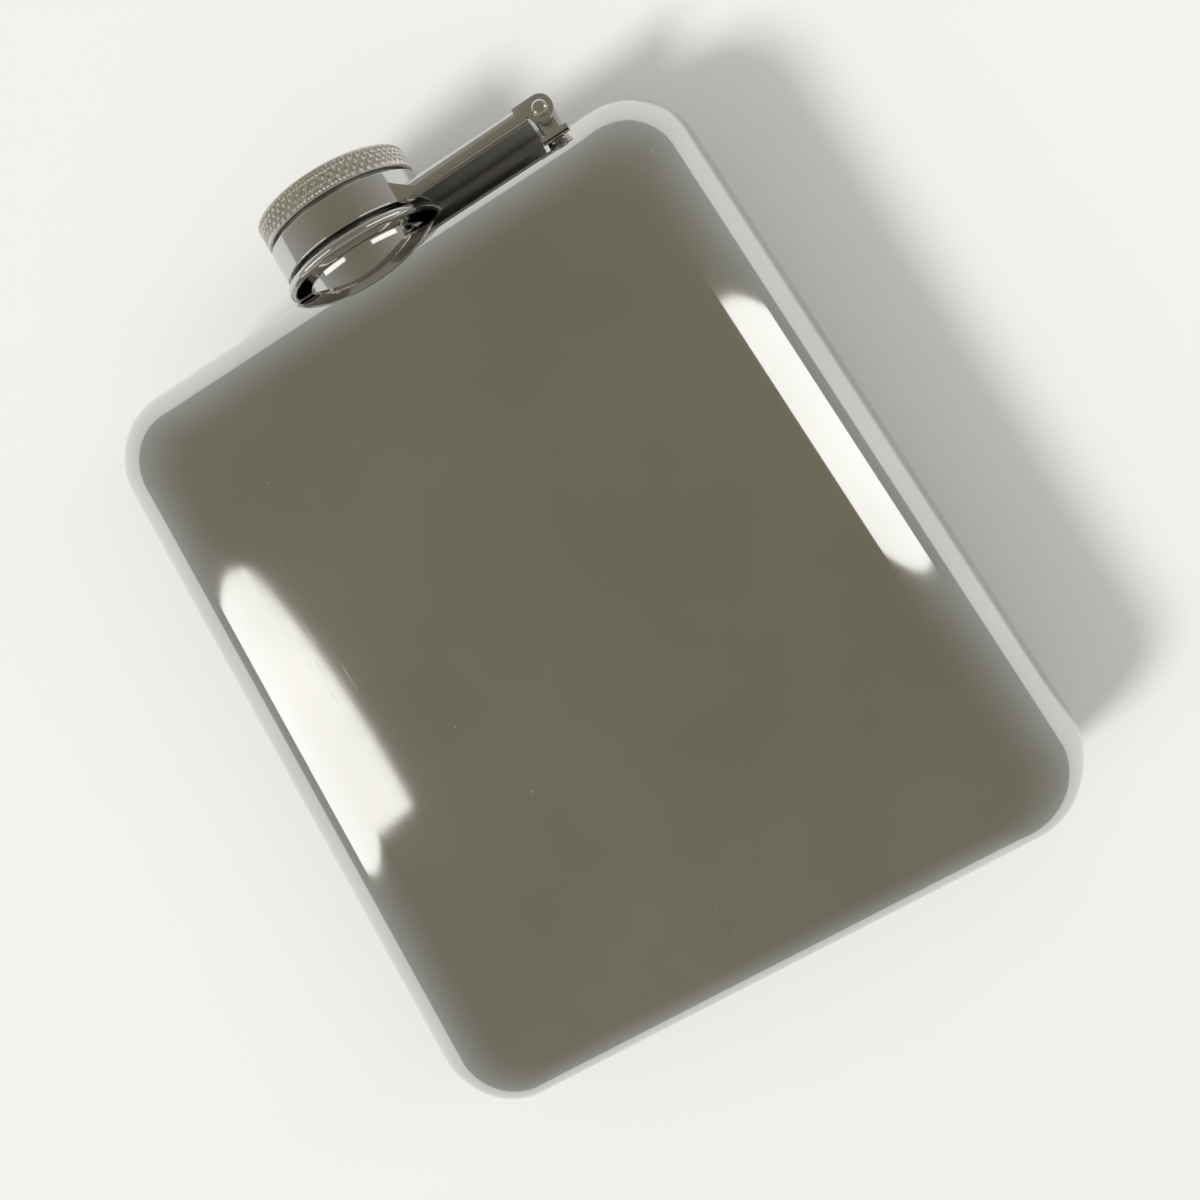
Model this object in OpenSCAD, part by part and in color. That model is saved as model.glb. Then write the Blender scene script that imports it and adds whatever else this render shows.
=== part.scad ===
// Hip flask with a captive screw cap, lying on its back.
// X runs across the flask, Y from its foot to its cap, Z up out of its front face.
// The origin is on the table, under the middle of the whole flask.
// The modules measure heights along Y from the foot, and on_foot() shifts them into place.

/* [Body] */
// Width across the foot
foot_w = 95; // [93:0.5:98]
// Width across the shoulder
shoulder_w = 84.4; // [83:0.2:88]
// Height of the body, from the foot to the top of the shoulder
body_h = 103.5; // [102:0.5:108]
// Depth from the back panel to the middle of the front panel
depth = 24; // [24:0.5:26]
// How far the front panel bows out between its edges
crown = 0.6; // [0.2:0.1:1]
// Thickness of the sheet steel
wall = 0.8; // [0.6:0.1:1]
// Radius of the body's corners, seen from the front
corner_r = 9.5; // [8:0.5:10]
// Radius of the front panel's corners
panel_corner_r = 5; // [4:0.5:6]
// How far the rounded sides reach in from the edge
side_round = 11; // [9:0.5:12]
// How far the rounded shoulder reaches down from the top
shoulder_round = 10; // [8:0.5:11]
// Radius along the foot's front and back edges
foot_round = 5; // [4:0.5:6]

/* [Neck] */
// Radius of the pouring bore
bore_r = 6.2; // [5.8:0.1:6.4]
// Radius of the neck tube between its threads
neck_r = 7.6; // [7.5:0.05:7.7]
// Radius over the neck's thread
thread_r = 8.1; // [8.0:0.05:8.15]
// Radius of the neck where it enters the shoulder
neck_base_r = 8.4; // [8.2:0.1:8.8]
// Radius of the bead round the neck
bead_r = 11.2; // [11:0.1:11.5]
// Rise of the cap in one turn
pitch = 2; // [1.8:0.1:2.2]

/* [Cap and collar] */
// Radius of the knurled cap
cap_r = 10.4; // [10.3:0.1:10.6]
// Height of the knurled cap
cap_h = 3.2; // [2.8:0.1:3.6]
// Outer radius of the collar that carries the cap
collar_r = 10.5; // [10.4:0.1:10.8]
// Height of the collar
collar_h = 4.1; // [4.1:0.1:4.3]

/* [Arm and hinge] */
// Distance from the neck's axis to the hinge pin
hinge_x = 28; // [27:0.5:30]
// Height of the hinge pin above the shoulder
hinge_up = 2.2; // [2.1:0.1:2.4]
// Width of the arm, front to back
arm_w = 14; // [12:0.5:15]
// Thickness of the arm's web and sides
arm_t = 0.8; // [0.6:0.1:1]
// Radius of the bends between the arm's web and its sides
bend_r = 1.2; // [1:0.1:1.4]
// Radius of the arm's ears round the pin
ear_r = 1.65; // [1.6:0.05:1.8]
// Radius of the hinge pin
pin_r = 0.7; // [0.6:0.05:0.8]

/* [Hidden] */

mid = depth / 2;
// Gap between pieces that turn or slide on each other as a fit
fit_gap = 0.05;
// Gap between pieces that pass each other
free_gap = 0.3;

// Heights above the foot
bead_t = 1.3;
bead_bottom = body_h + 0.2;
bead_top = bead_bottom + bead_t;
collar_bottom = bead_top + 0.7;
collar_top = collar_bottom + collar_h;
cap_bottom = collar_top + 0.5;
cap_top = cap_bottom + cap_h;
sleeve_bottom = collar_bottom - 0.1;
sleeve_top = cap_bottom + 1.05;
liner_t = 0.8;
lip_top = sleeve_top - liner_t - fit_gap;
neck_bottom = body_h - 5.5;
height = cap_top;

// Cap sleeve, snap ring and collar, from the inside out
sleeve_mouth_r = thread_r + free_gap;
sleeve_root_r = sleeve_mouth_r + 0.35;
sleeve_r = sleeve_mouth_r + 0.9;
ring_inner_r = sleeve_mouth_r + 0.5;
collar_bore_r = collar_r - 0.55;
ring_outer_r = collar_bore_r - 0.1;
collar_lip_r = sleeve_r + 0.12;
ring_bottom = sleeve_bottom + 0.55;
ring_t = 0.6;
collar_lip_t = 0.6;

// Arm: it starts inside the collar's wall, and its web stops short of the hinge barrel
pin_y = body_h + hinge_up;
arm_top = pin_y + ear_r;
arm_side_h = 1.8;
arm_start_x = 5;
web_end_x = hinge_x - 2;
ear_inner_half = arm_w / 2 - arm_t;

// Hinge bracket
barrel_r = 1.45;
barrel_half = ear_inner_half - free_gap;
leg_t = 1.8;
bracket_foot_half = ear_inner_half - 1;
bracket_foot_w = 3.6;
bracket_foot_t = 0.6;

// Screw thread
thread_turns = 1.1;
neck_thread_start = bead_top + 2.2;
sleeve_thread_start = bead_top + 3.2;
overlap = 0.1;

// Corner and edge steps of the shells
corner_steps = 8;
edge_steps = 13;
panel_shares = [0.3, 0.6, 0.88];
panel_tip_r = 0.4;

// Reach past a face, so that a cut goes right through
past = 2;
side_angle = atan((foot_w - shoulder_w) / 2 / body_h);

module on_foot() {
    translate([0, -height / 2, 0]) children();
}

// Turns a profile drawn as [radius, height above the foot] about the neck's axis
module on_neck() {
    on_foot() translate([0, 0, mid]) rotate([-90, 0, 0]) children();
}

// ---- Pressed shells ----

// Half width of the flask at height y, drawn in by inset
function half_w(y, inset) = foot_w / 2 - tan(side_angle) * y - inset / cos(side_angle);

// One corner of a ring: an arc about [x, y] from angle a to angle b
function corner(x, y, r, a, b, z) =
    [for (k = [0:corner_steps])
        let (t = a + (b - a) * k / corner_steps)
        [x + r * cos(t), y + r * sin(t), z]];

// A rounded, tapered outline at height z, drawn in at the sides, the foot and the shoulder
function ring(z, side, foot, top, r) =
    let (yb = foot + r, yt = body_h - top - r, e = r / cos(side_angle),
         xb = half_w(yb, side) - e, xt = half_w(yt, side) - e, s = side_angle)
    concat(corner(xb, yb, r, -90, s, z), corner(xt, yt, r, s, 90, z),
           corner(-xt, yt, r, 90, 180 - s, z), corner(-xb, yb, r, 180 - s, 270, z));

// Inset of an edge whose rounding is reach wide and rise high, at height z out of half_d
function edge_inset(z, half_d, reach, rise) =
    let (up = max(0, z - (half_d - rise)) / rise)
    reach * (1 - sqrt(max(0, 1 - up * up)));

// Ring on the rounded edge, at angle a up the side; skin is the distance inside the outer face
function edge_ring(a, half_d, skin) =
    let (hd = half_d - skin, z = hd * sin(a), fr = foot_round - skin)
    ring(z,
         skin + (side_round - skin) * (1 - cos(a)),
         skin + edge_inset(z, hd, fr, fr),
         skin + edge_inset(z, hd, shoulder_round - skin, hd),
         corner_r - skin - (corner_r - panel_corner_r) * (1 - cos(a)));

// Ring on the bowed panel, a share d of the way in from the rounded edge to the middle
function panel_ring(d, half_d, skin, bow) =
    let (reach = shoulder_w / 2 - side_round)
    ring(half_d - skin + bow * (1 - (1 - d) * (1 - d)),
         side_round + d * reach,
         foot_round + d * reach,
         shoulder_round + d * reach,
         (panel_corner_r - skin) * (1 - d) + panel_tip_r);

function face_rings(half_d, skin, bow) =
    concat([for (i = [0:edge_steps]) edge_ring(90 * i / edge_steps, half_d, skin)],
           [for (d = panel_shares) panel_ring(d, half_d, skin, bow)]);

function flat_list(rings) = [for (r = rings) for (p = r) p];

// Half of the body: a pressed tray whose rim lies on z = 0 and whose panel is at the top
module tray(half_d, bow) {
    outer = face_rings(half_d, 0, bow);
    inner = face_rings(half_d, wall, bow);
    m = len(outer[0]);
    n = len(outer);
    base = m * n;
    walls = [for (i = [0:n - 2]) for (j = [0:m - 1])
        let (k = (j + 1) % m, a = i * m + j, b = i * m + k, c = a + m, d = b + m)
        for (f = [[a, c, d], [a, d, b],
                  [base + a, base + d, base + c], [base + a, base + b, base + d]]) f];
    rim = [for (j = [0:m - 1]) let (k = (j + 1) % m)
        for (f = [[j, k, base + k], [j, base + k, base + j]]) f];
    panels = [[for (j = [m - 1:-1:0]) base - m + j],
              [for (j = [0:m - 1]) 2 * base - m + j]];
    polyhedron(points = concat(flat_list(outer), flat_list(inner)),
               faces = concat(walls, rim, panels), convexity = 6);
}

// Solid block inside the body's outer face, grown outwards by grow; it trims what is welded on
module body_block(grow) {
    rings = [for (i = [0:edge_steps]) edge_ring(90 * i / edge_steps, mid, -grow)];
    m = len(rings[0]);
    n = len(rings);
    walls = [for (i = [0:n - 2]) for (j = [0:m - 1])
        let (k = (j + 1) % m, a = i * m + j, b = i * m + k)
        for (f = [[a, a + m, b + m], [a, b + m, b]]) f];
    ends = [[for (j = [0:m - 1]) j], [for (j = [m - 1:-1:0]) (n - 1) * m + j]];
    for (s = [0, 1]) mirror([0, 0, s])
        polyhedron(points = flat_list(rings), faces = concat(walls, ends), convexity = 4);
}

module neck_hole() {
    translate([0, 0, mid]) rotate([-90, 0, 0]) translate([0, 0, neck_bottom - past])
        cylinder(r = neck_base_r, h = height - neck_bottom, $fn = 96);
}

module front_shell() {
    color("silver") on_foot() difference() {
        translate([0, 0, mid]) tray(mid - crown, crown);
        neck_hole();
    }
}

module back_shell() {
    color("silver") on_foot() difference() {
        translate([0, 0, mid]) mirror([0, 0, 1]) tray(mid, 0);
        neck_hole();
    }
}

// ---- Neck ----

// A screw ridge from radius root to radius crest, swept up a helix in short straight pieces.
// Its height fades in and out over a few pieces at both ends.
module ridge(root, crest, start, turns) {
    steps = ceil(turns * 30);
    fade_steps = 5;
    lowest_share = 0.25;
    half = pitch * 0.3;
    flat_half = half * 0.35;
    pts = [for (k = [0:steps])
        let (a = 360 * turns * k / steps, z = start + pitch * turns * k / steps,
             fade = min(1, lowest_share + min(k, steps - k) / fade_steps),
             c = root + (crest - root) * fade)
        for (q = [[root, z - half], [c, z - flat_half], [c, z + flat_half], [root, z + half]])
            [q[0] * cos(a), q[0] * sin(a), q[1]]];
    order = crest > root ? [0, 1, 2, 3] : [3, 2, 1, 0];
    sides = [for (k = [0:steps - 1]) for (j = [0:3])
        let (a = 4 * k + order[j], b = 4 * k + order[(j + 1) % 4])
        for (f = [[a, b, b + 4], [a, b + 4, a + 4]]) f];
    ends = [[for (j = [3:-1:0]) order[j]], [for (j = [0:3]) 4 * steps + order[j]]];
    polyhedron(points = pts, faces = concat(sides, ends), convexity = 6);
}

// Half-round edge from height a to height b, bulging out to radius r
function half_round(r, a, b, steps) =
    [for (k = [0:steps])
        let (t = -90 + 180 * k / steps, h = (b - a) / 2)
        [r - h + h * cos(t), (a + b) / 2 + h * sin(t)]];

module neck() {
    edge = 0.3;
    profile = concat([[bore_r, neck_bottom], [neck_base_r, neck_bottom], [neck_base_r, bead_bottom]],
                     half_round(bead_r, bead_bottom, bead_top, 10),
                     [[neck_r, bead_top], [neck_r, lip_top - edge],
                      [neck_r - edge, lip_top], [bore_r, lip_top]]);
    color("gainsboro") on_neck() union() {
        rotate_extrude($fn = 96) polygon(profile);
        ridge(neck_r - overlap, thread_r, neck_thread_start, thread_turns);
    }
}

// ---- Hinge on the shoulder ----

module hinge_bracket() {
    leg_bottom = body_h - 4;
    foot_bottom = body_h - 8;
    color("gainsboro") on_foot() translate([0, 0, mid]) difference() {
        union() {
            translate([hinge_x, pin_y, -barrel_half])
                cylinder(r = barrel_r, h = 2 * barrel_half, $fn = 48);
            translate([hinge_x - leg_t / 2, leg_bottom, -bracket_foot_half])
                cube([leg_t, pin_y - leg_bottom, 2 * bracket_foot_half]);
            intersection() {
                body_block(bracket_foot_t);
                translate([hinge_x - bracket_foot_w / 2, foot_bottom, -bracket_foot_half])
                    cube([bracket_foot_w, height - foot_bottom, 2 * bracket_foot_half]);
            }
        }
        body_block(0);
        translate([hinge_x, pin_y, -mid]) cylinder(r = pin_r, h = depth, $fn = 32);
    }
}

// The pin is riveted over at both ends
module hinge_pin() {
    head_r = 1.0;
    head_t = 0.45;
    head_rim = 0.15;
    dome_r = head_r - 0.35;
    reach = arm_w / 2 + fit_gap;
    end = reach + head_t;
    profile = [[0, -end], [dome_r, -end], [head_r, -reach - head_rim], [head_r, -reach],
               [pin_r, -reach], [pin_r, reach],
               [head_r, reach], [head_r, reach + head_rim], [dome_r, end], [0, end]];
    color("gainsboro") on_foot() translate([hinge_x, pin_y, mid])
        rotate_extrude($fn = 48) polygon(profile);
}

// ---- Arm, collar and cap ----

// Ear of one side of the arm, from the end of the web to the pin
module arm_ear() {
    join = 1;
    difference() {
        union() {
            translate([web_end_x - join, arm_top - arm_side_h])
                square([hinge_x - web_end_x + join, arm_side_h]);
            translate([hinge_x, pin_y]) circle(r = ear_r, $fn = 48);
        }
        translate([hinge_x, pin_y]) circle(r = pin_r + fit_gap, $fn = 32);
    }
}

// Flare where one side of the arm meets the collar
module arm_flare() {
    tab_x = 8.6;
    tab_up = 0.85;
    slope_w = 0.6;
    run_out = 2;
    low = arm_top - arm_side_h;
    polygon([[arm_start_x, low], [tab_x, low], [tab_x + run_out, arm_top - bend_r],
             [tab_x, arm_top + tab_up * 0.4], [tab_x - slope_w, arm_top + tab_up],
             [arm_start_x, arm_top + tab_up]]);
}

// Outline of a folded sheet's outer or inner face: half its width, its bend radius and its top
module folded(half, r, top, bottom) {
    translate([-half, bottom]) square([2 * half, top - r - bottom]);
    translate([-half + r, bottom]) square([2 * (half - r), top - bottom]);
    for (s = [-1, 1]) translate([s * (half - r), top - r]) circle(r = r, $fn = 48);
}

module arm() {
    side_bottom = arm_top - arm_side_h;
    color("gainsboro") on_foot() difference() {
        union() {
            translate([arm_start_x, 0, mid]) rotate([0, 90, 0])
                linear_extrude(web_end_x - arm_start_x) difference() {
                    folded(arm_w / 2, bend_r, arm_top, side_bottom);
                    folded(ear_inner_half, bend_r - arm_t, arm_top - arm_t, side_bottom - past);
                }
            for (z = [-arm_w / 2, arm_w / 2 - arm_t]) translate([0, 0, mid + z])
                linear_extrude(arm_t) union() {
                    arm_ear();
                    arm_flare();
                }
        }
        translate([0, 0, mid]) rotate([-90, 0, 0]) translate([0, 0, body_h])
            cylinder(r = collar_r, h = height - body_h, $fn = 96);
    }
}

module collar() {
    edge = 0.2;
    lip_bottom = collar_top - collar_lip_t;
    profile = [[collar_bore_r, collar_bottom], [collar_r - edge, collar_bottom],
               [collar_r, collar_bottom + edge], [collar_r, collar_top - edge],
               [collar_r - edge, collar_top], [collar_lip_r, collar_top],
               [collar_lip_r, lip_bottom], [collar_bore_r, lip_bottom]];
    color("gainsboro") on_neck() rotate_extrude($fn = 96) polygon(profile);
}

// The ring is split so that it can spring into the sleeve's groove
module snap_ring() {
    gap = 1.2;
    gap_reach = 3;
    color("darkgray") on_neck() difference() {
        translate([0, 0, ring_bottom]) cylinder(r = ring_outer_r, h = ring_t, $fn = 96);
        translate([0, 0, ring_bottom - past])
            cylinder(r = ring_inner_r, h = ring_t + 2 * past, $fn = 96);
        translate([-gap / 2, -ring_outer_r - 1, ring_bottom - past])
            cube([gap, gap_reach, ring_t + 2 * past]);
    }
}

module cap_head() {
    edge = 0.45;
    profile = [[0, sleeve_top], [sleeve_r, sleeve_top], [sleeve_r, cap_bottom],
               [cap_r - edge, cap_bottom], [cap_r, cap_bottom + edge],
               [cap_r, cap_top - edge], [cap_r - edge, cap_top], [0, cap_top]];
    color("lightgray") on_neck() rotate_extrude($fn = 96) polygon(profile);
}

module cap_sleeve() {
    groove_r = ring_inner_r - fit_gap;
    groove_bottom = ring_bottom - fit_gap;
    groove_top = ring_bottom + ring_t + fit_gap;
    relief = groove_top + 0.3;
    profile = [[sleeve_mouth_r, sleeve_bottom], [sleeve_r, sleeve_bottom],
               [sleeve_r, groove_bottom], [groove_r, groove_bottom],
               [groove_r, groove_top], [sleeve_r, groove_top],
               [sleeve_r, sleeve_top], [sleeve_root_r, sleeve_top],
               [sleeve_root_r, relief], [sleeve_mouth_r, groove_top]];
    color("gainsboro") on_neck() union() {
        rotate_extrude($fn = 96) polygon(profile);
        ridge(sleeve_root_r + overlap, sleeve_mouth_r, sleeve_thread_start, thread_turns);
    }
}

module cap_liner() {
    edge_gap = 0.15;
    color("whitesmoke") on_neck() translate([0, 0, sleeve_top - liner_t])
        cylinder(r = sleeve_root_r - edge_gap, h = liner_t, $fn = 96);
}

front_shell();
back_shell();
neck();
hinge_bracket();
hinge_pin();
arm();
collar();
snap_ring();
cap_head();
cap_sleeve();
cap_liner();
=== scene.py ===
import math

import bmesh
import bpy
from mathutils import Matrix, Vector


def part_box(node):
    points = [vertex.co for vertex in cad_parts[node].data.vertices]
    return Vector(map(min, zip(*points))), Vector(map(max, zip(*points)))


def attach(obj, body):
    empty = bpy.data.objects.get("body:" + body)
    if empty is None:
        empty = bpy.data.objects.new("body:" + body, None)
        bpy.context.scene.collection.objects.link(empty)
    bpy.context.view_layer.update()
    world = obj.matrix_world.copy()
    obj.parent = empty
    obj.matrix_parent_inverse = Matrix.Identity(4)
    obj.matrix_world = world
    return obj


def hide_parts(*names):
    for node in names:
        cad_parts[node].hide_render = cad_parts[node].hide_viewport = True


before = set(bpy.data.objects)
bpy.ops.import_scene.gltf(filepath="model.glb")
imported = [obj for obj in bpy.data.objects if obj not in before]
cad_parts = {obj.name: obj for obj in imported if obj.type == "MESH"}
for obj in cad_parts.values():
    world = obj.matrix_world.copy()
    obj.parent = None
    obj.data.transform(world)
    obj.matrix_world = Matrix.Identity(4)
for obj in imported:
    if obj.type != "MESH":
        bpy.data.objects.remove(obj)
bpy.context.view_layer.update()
MM = 0.001

# ---- Sizes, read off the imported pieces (all in mm) ----


def box_mm(node):
    low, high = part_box(node)
    return low / MM, high / MM


front_low, front_high = box_mm("front_shell")
neck_low, neck_high = box_mm("neck")
collar_low, collar_high = box_mm("collar")
head_high = box_mm("cap_head")[1]
sleeve_low, sleeve_high = box_mm("cap_sleeve")
foot_y = front_low.y
body_h = 103.5
depth = front_high.z
mid = depth / 2
foot_w = 95.0
shoulder_w = 84.4
taper = math.atan((foot_w - shoulder_w) / 2 / body_h)
wall = 0.8
crown = 0.6
corner_r, panel_corner_r = 9.5, 5.0
side_round, shoulder_round, foot_round = 11.0, 10.0, 5.0
neck_hole_r = 8.3


# ---- Mesh helpers ----


def piece(name, verts, faces, body, stands_for=(), sharp=35):
    mesh = bpy.data.meshes.new(name)
    mesh.from_pydata([(x * MM, y * MM, z * MM) for x, y, z in verts], [], faces)
    obj = bpy.data.objects.new(name, mesh)
    bpy.context.scene.collection.objects.link(obj)
    finish_mesh(obj, sharp)
    if stands_for:
        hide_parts(*stands_for)
    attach(obj, body)
    return obj


def finish_mesh(obj, sharp):
    bm = bmesh.new()
    bm.from_mesh(obj.data)
    bmesh.ops.remove_doubles(bm, verts=bm.verts, dist=0.002 * MM)
    bmesh.ops.recalc_face_normals(bm, faces=bm.faces)
    bm.to_mesh(obj.data)
    bm.free()
    for face in obj.data.polygons:
        face.use_smooth = True
    obj.data.set_sharp_from_angle(angle=math.radians(sharp))


def turned(name, rings, body, stands_for=(), around=192, sharp=35, closed=True):
    """A lathe-turned piece: each ring is [radius, y], or a function of the angle that gives it."""
    verts, faces = [], []
    for ring in rings:
        for k in range(around):
            angle = 2 * math.pi * k / around
            radius, y = ring(angle) if callable(ring) else ring
            verts.append((radius * math.cos(angle), y, mid + radius * math.sin(angle)))
    count = len(rings)
    for i in range(count if closed else count - 1):
        for k in range(around):
            j, m = (i + 1) % count, (k + 1) % around
            faces.append((i * around + k, i * around + m, j * around + m, j * around + k))
    if not closed:
        faces.append(tuple(range(around)))
        faces.append(tuple((count - 1) * around + k for k in reversed(range(around))))
    return piece(name, verts, faces, body, stands_for, sharp)


def rounded(points, radius, steps=4):
    """The closed outline with each of its corners turned into a small arc."""
    out = []
    for i, p in enumerate(points):
        a, b = points[i - 1], points[(i + 1) % len(points)]
        va, vb = Vector(a) - Vector(p), Vector(b) - Vector(p)
        bend = math.degrees(va.angle(vb)) if va.length and vb.length else 180
        cut = min(radius, va.length * 0.45, vb.length * 0.45)
        if bend > 172:
            out.append(tuple(p))
            continue
        start, end = Vector(p) + va.normalized() * cut, Vector(p) + vb.normalized() * cut
        for k in range(steps + 1):
            t = k / steps
            q = start * (1 - t) ** 2 + Vector(p) * 2 * t * (1 - t) + end * t * t
            out.append((q.x, q.y))
    return out


def softened(name, node, body, width, sharp=30):
    """A cast of a CAD piece with its edges rolled over."""
    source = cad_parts[node]
    obj = bpy.data.objects.new(name, source.data.copy())
    obj.data.materials.clear()
    bpy.context.scene.collection.objects.link(obj)
    bm = bmesh.new()
    bm.from_mesh(obj.data)
    bmesh.ops.remove_doubles(bm, verts=bm.verts, dist=0.001 * MM)
    bmesh.ops.dissolve_limit(bm, angle_limit=math.radians(0.4), verts=bm.verts, edges=bm.edges)
    edges = [e for e in bm.edges if len(e.link_faces) == 2 and e.calc_face_angle(0) > math.radians(sharp)]
    bmesh.ops.bevel(bm, geom=edges, offset=width * MM, segments=3, profile=0.5, affect="EDGES",
                    clamp_overlap=True)
    bm.to_mesh(obj.data)
    bm.free()
    for face in obj.data.polygons:
        face.use_smooth = True
    obj.data.set_sharp_from_angle(angle=math.radians(sharp))
    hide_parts(node)
    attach(obj, body)
    return obj


# ---- Shader maths ----


class Socket:
    """A shader socket that takes part in sums and products."""

    def __init__(self, tree, out):
        self.tree, self.out = tree, out

    def math(self, operation, *others):
        node = self.tree.nodes.new("ShaderNodeMath")
        node.operation = operation
        for k, value in enumerate((self, *others)):
            if isinstance(value, Socket):
                self.tree.links.new(value.out, node.inputs[k])
            else:
                node.inputs[k].default_value = value
        return Socket(self.tree, node.outputs[0])

    def constant(self, value):
        node = self.tree.nodes.new("ShaderNodeValue")
        node.outputs[0].default_value = value
        return Socket(self.tree, node.outputs[0])

    def __add__(self, other):
        return self.math("ADD", other)

    def __mul__(self, other):
        return self.math("MULTIPLY", other)

    def __sub__(self, other):
        return self.math("SUBTRACT", other)

    def __rsub__(self, other):
        return self.constant(other).math("SUBTRACT", self)

    __radd__ = __add__
    __rmul__ = __mul__

    def smooth(self, low, high):
        """0 below low, 1 above high, and a smooth step between."""
        node = self.tree.nodes.new("ShaderNodeMapRange")
        node.interpolation_type = "SMOOTHSTEP"
        self.tree.links.new(self.out, node.inputs[0])
        node.inputs[1].default_value, node.inputs[2].default_value = low, high
        return Socket(self.tree, node.outputs[0])


class Shader:
    """A node tree under construction."""

    def __init__(self, tree):
        self.tree = tree

    def add(self, kind, settings=None, out=0, **inputs):
        node = self.tree.nodes.new("ShaderNode" + kind)
        for key, value in (settings or {}).items():
            setattr(node, key, value)
        for key, value in inputs.items():
            socket = node.inputs[key.replace("_", " ")]
            if isinstance(value, Socket):
                self.tree.links.new(value.out, socket)
            else:
                socket.default_value = value
        return Socket(self.tree, node.outputs[out])

    def place(self):
        return self.add("TexCoord", out="Object")

    def mapped(self, vector, scale, turn=(0, 0, 0)):
        return self.add("Mapping", Vector=vector, Scale=scale, Rotation=turn)

    def apart(self, vector):
        """The three parts of a vector."""
        split = self.tree.nodes.new("ShaderNodeSeparateXYZ")
        self.tree.links.new(vector.out, split.inputs[0])
        return [Socket(self.tree, out) for out in split.outputs]

    def inside(self, vector, low, high):
        """1 within a box given by its low and high corner in mm, else 0."""
        share = 1.0
        for part, a, b in zip(self.apart(vector), low, high):
            share = part.math("GREATER_THAN", a * MM) * part.math("LESS_THAN", b * MM) * share
        return share

    def noise(self, vector, scale, detail=2.0, rough=0.5):
        return self.add("TexNoise", Vector=vector, Scale=scale, Detail=detail, Roughness=rough)

    def mix(self, share, a, b):
        """Colour a where share is 0, colour b where it is 1."""
        node = self.tree.nodes.new("ShaderNodeMix")
        node.data_type = "RGBA"
        for k, value in ((0, share), (6, a), (7, b)):
            if isinstance(value, Socket):
                self.tree.links.new(value.out, node.inputs[k])
            else:
                node.inputs[k].default_value = (*value, 1)
        return Socket(self.tree, node.outputs[2])

    def ramp(self, share, stops):
        node = self.tree.nodes.new("ShaderNodeValToRGB")
        ramp = node.color_ramp
        while len(ramp.elements) < len(stops):
            ramp.elements.new(1.0)
        for element, (at, colour) in zip(ramp.elements, stops):
            element.position = at
            element.color = (*colour, 1)
        self.tree.links.new(share.out, node.inputs[0])
        return Socket(self.tree, node.outputs[0])


def new_material(name):
    material = bpy.data.materials.new(name)
    material.use_nodes = True
    material.node_tree.nodes.clear()
    return material, Shader(material.node_tree)


def close_material(s, base, rough, height, depth_mm, metal=1.0):
    """The surface shader and its output; height is a relief of depth_mm."""
    bsdf = s.tree.nodes.new("ShaderNodeBsdfPrincipled")
    s.tree.links.new(base.out, bsdf.inputs["Base Color"])
    if isinstance(rough, Socket):
        s.tree.links.new(rough.out, bsdf.inputs["Roughness"])
    else:
        bsdf.inputs["Roughness"].default_value = rough
    bsdf.inputs["Metallic"].default_value = metal
    bump = s.tree.nodes.new("ShaderNodeBump")
    bump.inputs["Strength"].default_value = 1.0
    bump.inputs["Distance"].default_value = depth_mm * MM
    s.tree.links.new(height.out, bump.inputs["Height"])
    s.tree.links.new(bump.outputs[0], bsdf.inputs["Normal"])
    output = s.tree.nodes.new("ShaderNodeOutputMaterial")
    s.tree.links.new(bsdf.outputs[0], output.inputs["Surface"])


def hairlines(s, where, turn, fine=4200.0, long=130.0):
    """Thin straight scratches that run along one direction."""
    lines = s.noise(s.mapped(where, (fine, long, fine), (0, 0, turn)), 1.0, 2.0, 0.6)
    return lines.smooth(0.70, 0.80)


def steel(name, colour, rough, scratch, wipe=0.05, turn_marks=0.0, satin_within=None):
    """Polished steel: faint wipe marks, a few hairline scratches, specks of dust and a slow tint.
    satin_within is a box, low and high corner in mm, in which the polish was left off."""
    material, s = new_material(name)
    where = s.place()
    cloud = s.noise(where, 45.0, 3.0)
    smear = s.noise(s.mapped(where, (60, 260, 60), (0, 0, 0.5)), 1.0, 4.0, 0.6)
    scratches = hairlines(s, where, 0.35) + hairlines(s, where, -0.9)
    scratches = scratches + hairlines(s, where, 1.35, 3200, 120)
    dust = s.add("TexVoronoi", {"feature": "F1"}, Vector=where, Scale=310.0, Randomness=1.0)
    dust = 1 - dust.smooth(0.045, 0.075)
    some = s.noise(where, 90.0, 1.0).smooth(0.55, 0.62)
    dust = dust * some
    darker = tuple(c * 0.93 for c in colour)
    base = s.mix(cloud.smooth(0.3, 0.7), colour, darker)
    base = s.mix(scratches * 0.10 + dust * 0.25, base, tuple(min(1, c * 1.15) for c in colour))
    roughness = smear * wipe + (rough - wipe / 2) + scratches * scratch + dust * 0.3
    if satin_within:
        roughness = roughness + s.inside(where, *satin_within) * satin_rough
    if turn_marks:
        rings = s.noise(s.mapped(where, (25, 9000, 25)), 1.0, 2.0, 0.6)
        roughness = roughness + rings * turn_marks
        close_material(s, base, roughness, height=scratches * 0.3 + rings * 0.7, depth_mm=0.004)
    else:
        close_material(s, base, roughness, height=scratches, depth_mm=0.0003)
    return material


def liner_plastic():
    material, s = new_material("white_liner")
    where = s.place()
    grain = s.noise(where, 900.0, 3.0)
    stain = s.noise(where, 70.0, 2.0).smooth(0.35, 0.75)
    base = s.mix(stain, (0.80, 0.79, 0.74), (0.70, 0.68, 0.60))
    close_material(s, base, grain * 0.15 + 0.42, metal=0.0, height=grain, depth_mm=0.02)
    return material


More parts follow.
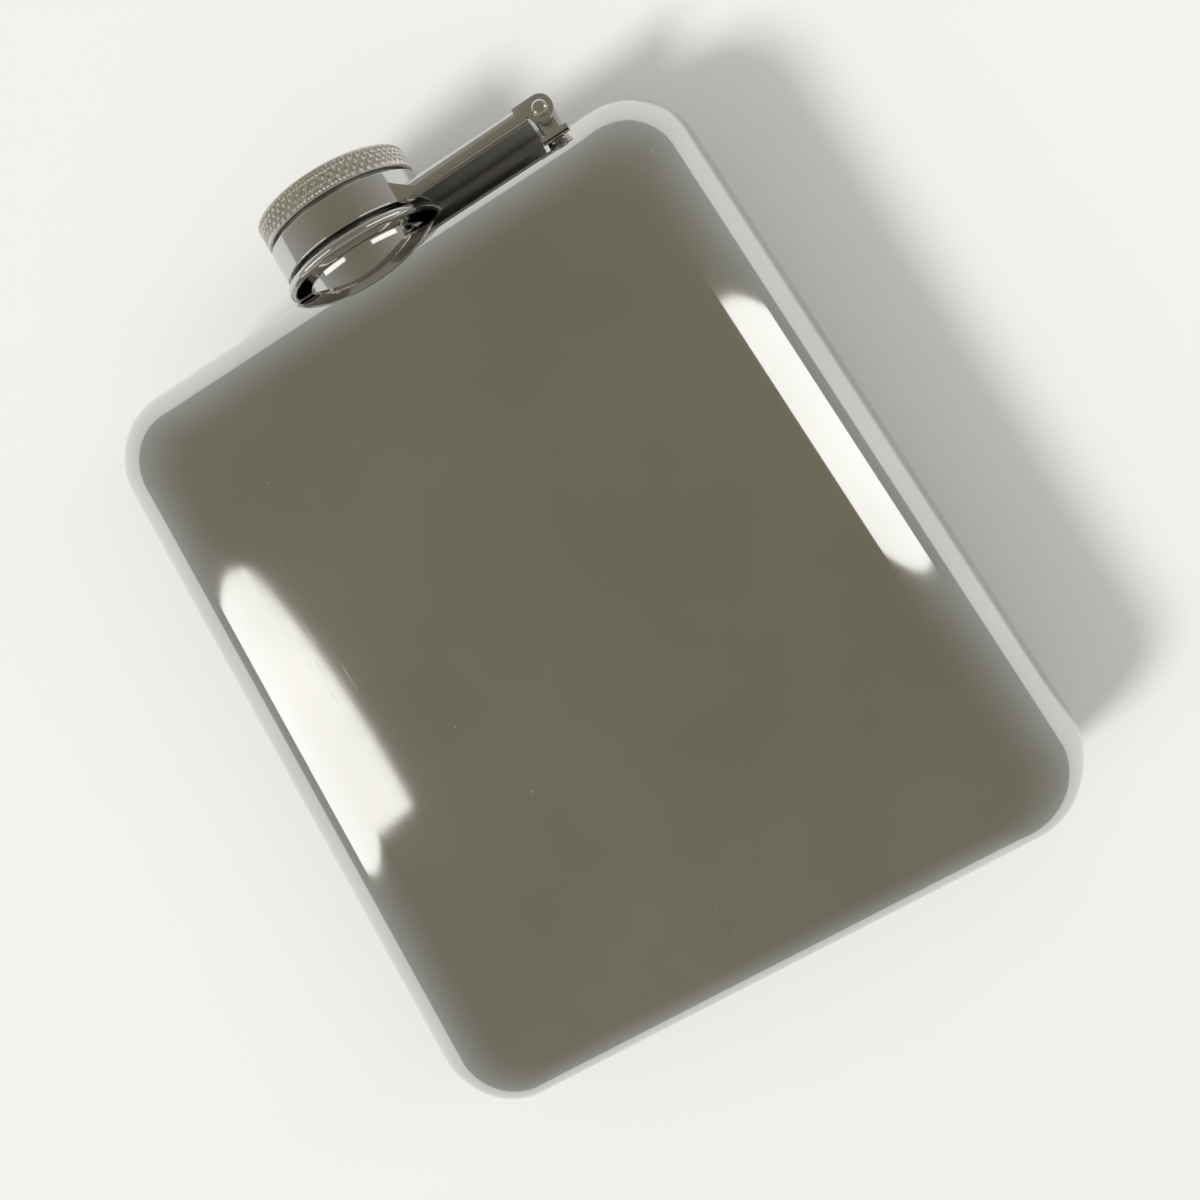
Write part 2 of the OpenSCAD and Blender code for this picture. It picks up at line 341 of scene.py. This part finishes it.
def table_top():
    material, s = new_material("pale_table")
    where = s.place()
    cloud = s.noise(where, 6.0, 2.0)
    base = s.mix(cloud, (0.905, 0.900, 0.872), (0.890, 0.884, 0.856))
    close_material(s, base, 0.55, metal=0.0, height=s.noise(where, 1500.0, 2.0), depth_mm=0.01)
    return material


satin_rough = 0.34  # what the roughness gains where the polish was left off
POLISHED = (0.665, 0.660, 0.640)
body_steel = steel("polished_body_steel", POLISHED, 0.06, 0.06, wipe=0.03)
fitting_steel = steel("polished_fitting_steel", (0.66, 0.65, 0.63), 0.07, 0.06, turn_marks=0.02)
knurl_steel = steel("satin_knurled_steel", (0.74, 0.725, 0.67), 0.32, 0.08, wipe=0.10)
turned_steel = steel("turned_thread_steel", (0.58, 0.58, 0.57), 0.22, 0.05, turn_marks=0.12)
ring_steel = steel("spring_ring_steel", (0.40, 0.41, 0.43), 0.28, 0.05, turn_marks=0.08)
liner = liner_plastic()


def wear(obj, material):
    obj.data.materials.clear()
    obj.data.materials.append(material)


# ---- The two pressed halves of the body ----


def half_width(y, inset):
    return foot_w / 2 - math.tan(taper) * y - inset / math.cos(taper)


def edge_inset(z, half_d, reach, rise):
    up = max(0.0, z - (half_d - rise)) / rise
    return reach * (1 - math.sqrt(max(0.0, 1 - up * up)))


def outline(side, foot, top, radius, hole, corner_steps=14, long_steps=26, short_steps=16):
    """A tapered, rounded outline in [x, y] above the foot, counter-clockwise from the middle of the shoulder.
    It starts and ends hole mm to the left and right of the neck's axis."""
    yb, yt = foot + radius, body_h - top - radius
    e = radius / math.cos(taper)
    xb, xt = half_width(yb, side) - e, half_width(yt, side) - e
    turn = math.degrees(taper)
    pts = []

    def arc(cx, cy, a, b):
        for k in range(corner_steps + 1):
            t = math.radians(a + (b - a) * k / corner_steps)
            pts.append((cx + radius * math.cos(t), cy + radius * math.sin(t)))

    def line(to, steps):
        a = pts[-1]
        for k in range(1, steps):
            t = k / steps
            pts.append((a[0] + (to[0] - a[0]) * t, a[1] + (to[1] - a[1]) * t))

    top_y = body_h - top
    pts.append((-hole, top_y))
    line((-xt, top_y), short_steps)
    arc(-xt, yt, 90, 180 - turn)
    edge = (-xb - radius * math.cos(taper), yb + radius * math.sin(taper))
    line(edge, long_steps)
    arc(-xb, yb, 180 - turn, 270)
    line((xb, foot), 2 * short_steps)
    arc(xb, yb, -90, turn)
    edge = (xt + radius * math.cos(taper), yt + radius * math.sin(taper))
    line(edge, long_steps)
    arc(xt, yt, turn, 90)
    line((hole, top_y), short_steps)
    pts.append((hole, top_y))
    return pts


def panel_rise(x, y, bow):
    """Height of the bowed panel over its flat edge."""
    u = x / (half_width(y, side_round))
    low, high = foot_round, body_h - shoulder_round
    v = (2 * y - low - high) / (high - low)
    return bow * max(0.0, 1 - u * u) * max(0.0, 1 - v * v)


def skin_rings(half_d, skin, bow, hole_r):
    """Rings of one face of the sheet, from the rim at mid depth up the rounded edge and over the panel."""
    hd = half_d - skin
    hole_angle = math.degrees(math.asin(min(1, hole_r / hd)))
    angles = sorted(set([k * 2.5 for k in range(36)] + [88.4, hole_angle] +
                        [hole_angle - 1.2 * k * k for k in range(1, 4)]))
    rings = []
    for angle in angles:
        a = math.radians(angle)
        z = hd * math.sin(a)
        shrink = (corner_r - panel_corner_r) * (1 - math.cos(a))
        hole = math.sqrt(max(0.0, hole_r ** 2 - z * z))
        ring = outline(skin + (side_round - skin) * (1 - math.cos(a)),
                       skin + edge_inset(z, hd, foot_round - skin, foot_round - skin),
                       skin + edge_inset(z, hd, shoulder_round - skin, hd),
                       max(0.6, corner_r - skin - shrink), hole)
        rings.append(([(x, y, z) for x, y in ring], hole > 0))
    reach = shoulder_w / 2 - side_round
    for d in [0.045, 0.09, 0.14, 0.2, 0.27, 0.35, 0.43, 0.51, 0.59, 0.67, 0.75, 0.83, 0.9, 0.96]:
        radius = max(0.3, (panel_corner_r - skin) * (1 - d) + 0.4)
        way = d * reach
        ring = outline(side_round + way, foot_round + way, shoulder_round + way, radius, 0.0)
        rings.append(([(x, y, hd + panel_rise(x, y, bow)) for x, y in ring], False))
    return rings


def pressed_half(name, half_d, bow, flip, node):
    verts, faces = [], []
    starts = []
    for skin in (0.0, wall):
        rings = skin_rings(half_d, skin, bow, neck_hole_r)
        first = len(verts)
        count = len(rings[0][0])
        for ring, _ in rings:
            for x, y, z in ring:
                verts.append((x, foot_y + y, mid + flip * z))
        for i in range(len(rings) - 1):
            for j in range(count - 1):
                a = first + i * count + j
                faces.append((a, a + 1, a + count + 1, a + count))
            if not rings[i + 1][1]:
                a = first + i * count
                if not rings[i][1]:
                    faces.append((a + count - 1, a, a + count, a + 2 * count - 1))
        last = first + (len(rings) - 1) * count
        faces.append(tuple(last + k for k in range(count)))
        starts.append((first, count, sum(1 for _, open_ring in rings if open_ring)))
    (a, count, open_a), (b, _, open_b) = starts
    for j in range(count - 1):
        faces.append((a + j, b + j, b + j + 1, a + j + 1))
    # the wall of the neck's hole, between the two faces of the sheet
    for end in (0, count - 1):
        chain_a = [a + i * count + end for i in range(open_a + 1)]
        chain_b = [b + i * count + end for i in range(open_b + 1)]
        steps = max(len(chain_a), len(chain_b)) - 1
        for k in range(steps):
            ia, ja = min(k, len(chain_a) - 1), min(k + 1, len(chain_a) - 1)
            ib, jb = min(k, len(chain_b) - 1), min(k + 1, len(chain_b) - 1)
            quad = []
            for v in (chain_a[ia], chain_b[ib], chain_b[jb], chain_a[ja]):
                if v not in quad:
                    quad.append(v)
            if len(quad) > 2:
                faces.append(tuple(quad))
    obj = piece(name, verts, faces, "flask", (node,), sharp=40)
    wear(obj, body_steel)
    return obj


pressed_half("pressed_front", mid - crown, crown, 1, "front_shell")
pressed_half("pressed_back", mid, 0.0, -1, "back_shell")


# ---- Neck, with its bead and thread ----

neck_bottom, lip_top = neck_low.y, neck_high.y
shoulder_y = foot_y + body_h
bead_bottom = shoulder_y + 0.2
bead_top = bead_bottom + 1.3
bead_r = 11.2
bore_r, neck_r, thread_r, base_r = 6.2, 7.6, 8.1, 8.4
pitch, thread_turns = 2.0, 1.1
row_h = 0.11


def thread_height(angle, y, start, turns):
    """0 between the ridges, 1 on the crest of a ridge that climbs pitch mm a turn and fades at both ends."""
    best = 0.0
    for lap in range(-1, math.ceil(turns) + 1):
        along = lap + angle / (2 * math.pi)
        if not 0 <= along <= turns:
            continue
        off = abs(y - (start + pitch * along))
        ridge = min(1.0, max(0.0, (0.62 - off) / 0.4))
        fade = min(1.0, along / 0.12, (turns - along) / 0.12)
        best = max(best, ridge * fade)
    return best


def threaded(root, crest, y, start, turns):
    return lambda angle: (root + (crest - root) * thread_height(angle, y, start, turns), y)


half_bead = (bead_top - bead_bottom) / 2
bead = []
for k in range(17):
    t = math.radians(-90 + 180 * k / 16)
    bead.append((bead_r + half_bead * (math.cos(t) - 1), bead_bottom + half_bead * (math.sin(t) + 1)))
neck_rings = [(bore_r, lip_top - 0.35), (bore_r, neck_bottom + 0.2), (bore_r + 0.2, neck_bottom),
              (base_r, neck_bottom), (base_r, shoulder_y - 4.5), (base_r, shoulder_y - 3.0),
              (base_r, shoulder_y - 1.0), (base_r + 0.03, bead_bottom - 0.45),
              (base_r + 0.13, bead_bottom - 0.15), (base_r + 0.4, bead_bottom)]
neck_rings += bead
neck_rings += [(neck_r + 0.3, bead_top), (neck_r + 0.08, bead_top + 0.12), (neck_r, bead_top + 0.3)]
rows = int((lip_top - 0.45 - bead_top - 0.4) / row_h)
neck_rings += [threaded(neck_r, thread_r, bead_top + 0.4 + row_h * k, bead_top + 2.2, thread_turns)
               for k in range(rows)]
neck_rings += [(neck_r, lip_top - 0.42), (neck_r - 0.08, lip_top - 0.2), (neck_r - 0.3, lip_top - 0.03),
               (neck_r - 0.5, lip_top), (bore_r + 0.35, lip_top), (bore_r + 0.12, lip_top - 0.08)]
wear(turned("turned_neck", neck_rings, "flask", ("neck",)), fitting_steel)

# ---- Hinge, arm and collar ----

wear(softened("hinge_barrel", "hinge_bracket", "flask", 0.12), fitting_steel)
wear(softened("hinge_rivet", "hinge_pin", "flask", 0.08), fitting_steel)
arm_low, arm_high = box_mm("arm")
sheet = 0.8
channel = ((arm_low.x, arm_low.y - 1, arm_low.z + sheet - 0.1),
           (arm_high.x + 1, arm_high.y - sheet, arm_high.z - sheet + 0.1))
arm_steel = steel("polished_arm_steel", (0.66, 0.65, 0.63), 0.08, 0.06, satin_within=channel)
wear(softened("folded_arm", "arm", "arm", 0.14), arm_steel)

collar_bottom, collar_top = collar_low.y, collar_high.y
collar_r = collar_high.x
collar_bore, collar_lip, lip_bottom = collar_r - 0.55, 9.42, collar_top - 0.6
collar_outline = rounded([(collar_bore, collar_bottom), (collar_r, collar_bottom), (collar_r, collar_top),
                          (collar_lip, collar_top), (collar_lip, lip_bottom), (collar_bore, lip_bottom)],
                         0.22, 5)
wear(turned("collar_band", collar_outline, "arm", ("collar",), sharp=60), fitting_steel)

# ---- Cap ----

cap_bottom, cap_top = shoulder_y + 6.8, head_high.y
cap_r = head_high.x
sleeve_r = sleeve_high.x
sleeve_bottom, sleeve_top = sleeve_low.y, sleeve_high.y
knurls = 56
knurl_depth = 0.28


def knurl(y):
    def ring(angle):
        rise = (y - cap_bottom) / (2 * math.pi * cap_r / knurls)
        share = angle * knurls / (2 * math.pi)
        one = abs((share + rise) % 1.0 - 0.5) * 2
        two = abs((share - rise) % 1.0 - 0.5) * 2
        peak = min(1.0, min(one, two) * 1.7)
        edge = min(1.0, (y - cap_bottom - 0.22) / 0.25, (cap_top - 0.35 - y) / 0.25)
        cut = knurl_depth * (1 - peak) * max(0.0, edge)
        return cap_r - cut, y
    return ring


head_rings = [(0.6, sleeve_top), (sleeve_r - 0.1, sleeve_top), (sleeve_r, sleeve_top - 0.1),
              (sleeve_r, cap_bottom + 0.1), (sleeve_r + 0.1, cap_bottom), (cap_r - 0.35, cap_bottom),
              (cap_r - 0.12, cap_bottom + 0.06), (cap_r - 0.02, cap_bottom + 0.16)]
rows = 26
low, high = cap_bottom + 0.2, cap_top - 0.32
head_rings += [knurl(low + (high - low) * k / rows) for k in range(rows + 1)]
head_rings += [(cap_r - 0.02, cap_top - 0.27), (cap_r - 0.10, cap_top - 0.15), (cap_r - 0.24, cap_top - 0.05),
               (cap_r - 0.45, cap_top), (cap_r - 1.2, cap_top), (cap_r - 1.35, cap_top - 0.08),
               (cap_r - 1.5, cap_top - 0.1), (5.0, cap_top - 0.06), (0.6, cap_top - 0.04)]
head = turned("knurled_head", head_rings, "cap", ("cap_head",),
              around=knurls * 12, closed=False)
wear(head, knurl_steel)

mouth_r, root_r = 8.4, 8.75
groove_low, groove_high = sleeve_bottom + 0.5, sleeve_bottom + 1.2
groove_r = mouth_r + 0.45
sleeve_rings = [(mouth_r + 0.12, sleeve_bottom), (sleeve_r - 0.1, sleeve_bottom),
                (sleeve_r, sleeve_bottom + 0.1), (sleeve_r, groove_low), (groove_r, groove_low),
                (groove_r, groove_high), (sleeve_r, groove_high), (sleeve_r, sleeve_top - 0.1),
                (sleeve_r - 0.1, sleeve_top), (root_r, sleeve_top)]
inner_top, inner_low = sleeve_top - 0.1, groove_high + 0.35
rows = int((inner_top - inner_low) / row_h)
sleeve_rings += [threaded(root_r, mouth_r, inner_top - row_h * k, bead_top + 3.2, thread_turns)
                 for k in range(rows)]
sleeve_rings += [(root_r, inner_low - 0.02), (mouth_r, groove_high), (mouth_r, sleeve_bottom + 0.12)]
wear(turned("turned_sleeve", sleeve_rings, "cap", ("cap_sleeve",)), turned_steel)

wear(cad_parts["snap_ring"], ring_steel)
wear(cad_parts["cap_liner"], liner)

# ---- Table, light and camera ----


def plane(name, size, z):
    mesh = bpy.data.meshes.new(name)
    s = size / 2
    mesh.from_pydata([(-s, -s, z), (s, -s, z), (s, s, z), (-s, s, z)], [], [(0, 1, 2, 3)])
    obj = bpy.data.objects.new(name, mesh)
    bpy.context.scene.collection.objects.link(obj)
    return obj


table = plane("table", 8.0, -0.00005)
wear(table, table_top())

window = bpy.data.lights.new("window", "SUN")
window.energy = 1.9
window.angle = math.radians(13)
window_object = bpy.data.objects.new("window", window)
window_object.rotation_euler = Vector((-1.03, -0.24, 1.0)).to_track_quat("Z", "Y").to_euler()
window_object.visible_glossy = False
bpy.context.scene.collection.objects.link(window_object)


def studio():
    """A plain soft studio: one ceiling colour that grows paler towards the horizon.
    Matt surfaces get an even fill, and the backdrop itself is plain and pale."""
    horizon, ceiling = (0.42, 0.42, 0.40), (0.22, 0.21, 0.15)
    fill, backdrop = (0.50, 0.50, 0.50), (0.78, 0.78, 0.765)
    world = bpy.data.worlds.new("studio")
    world.use_nodes = True
    world.node_tree.nodes.clear()
    s = Shader(world.node_tree)
    upward = s.apart(s.add("TexCoord", out="Generated"))[2]
    room = s.ramp(upward, [(0.0, horizon), (1.0, ceiling)])
    path = s.tree.nodes.new("ShaderNodeLightPath")
    matt = Socket(s.tree, path.outputs["Is Diffuse Ray"])
    seen = Socket(s.tree, path.outputs["Is Camera Ray"])
    room = s.mix(seen, s.mix(matt, room, fill), backdrop)
    background = s.tree.nodes.new("ShaderNodeBackground")
    s.tree.links.new(room.out, background.inputs[0])
    output = s.tree.nodes.new("ShaderNodeOutputWorld")
    s.tree.links.new(background.outputs[0], output.inputs[0])
    bpy.context.scene.world = world


def softbox(name, place, width, length, power):
    """A large soft lamp that faces the flask."""
    light = bpy.data.lights.new(name, "AREA")
    light.shape, light.size, light.size_y, light.energy = "RECTANGLE", width, length, power
    lamp = bpy.data.objects.new(name, light)
    lamp.location = place
    lamp.rotation_euler = (-Vector(place)).to_track_quat("-Z", "Y").to_euler()
    lamp.visible_camera = False
    bpy.context.scene.collection.objects.link(lamp)


softbox("lamp_left", (-0.52, 0.0, 0.44), 0.20, 0.60, 0.45)
softbox("lamp_right", (0.52, 0.0, 0.44), 0.20, 0.60, 0.45)
studio()

# The camera looks almost straight down, and its view is 51 degrees wide.
camera_data = bpy.data.cameras.new("camera")
camera_data.sensor_width = 36.0
camera_data.lens = 37.74
camera_data.clip_start = 0.01
camera = bpy.data.objects.new("camera", camera_data)
bpy.context.scene.collection.objects.link(camera)
right_axis = Vector((0.8524, -0.5104, -0.1137))
up_axis = Vector((0.4963, 0.8581, -0.1314))
back_axis = right_axis.cross(up_axis).normalized()
camera.matrix_world = Matrix.Translation((0.02971, 0.00371, 0.17199)) @ Matrix(
    (right_axis.normalized(), back_axis.cross(right_axis).normalized(), back_axis)).transposed().to_4x4()
bpy.context.scene.camera = camera
bpy.context.scene.view_settings.view_transform = "Standard"
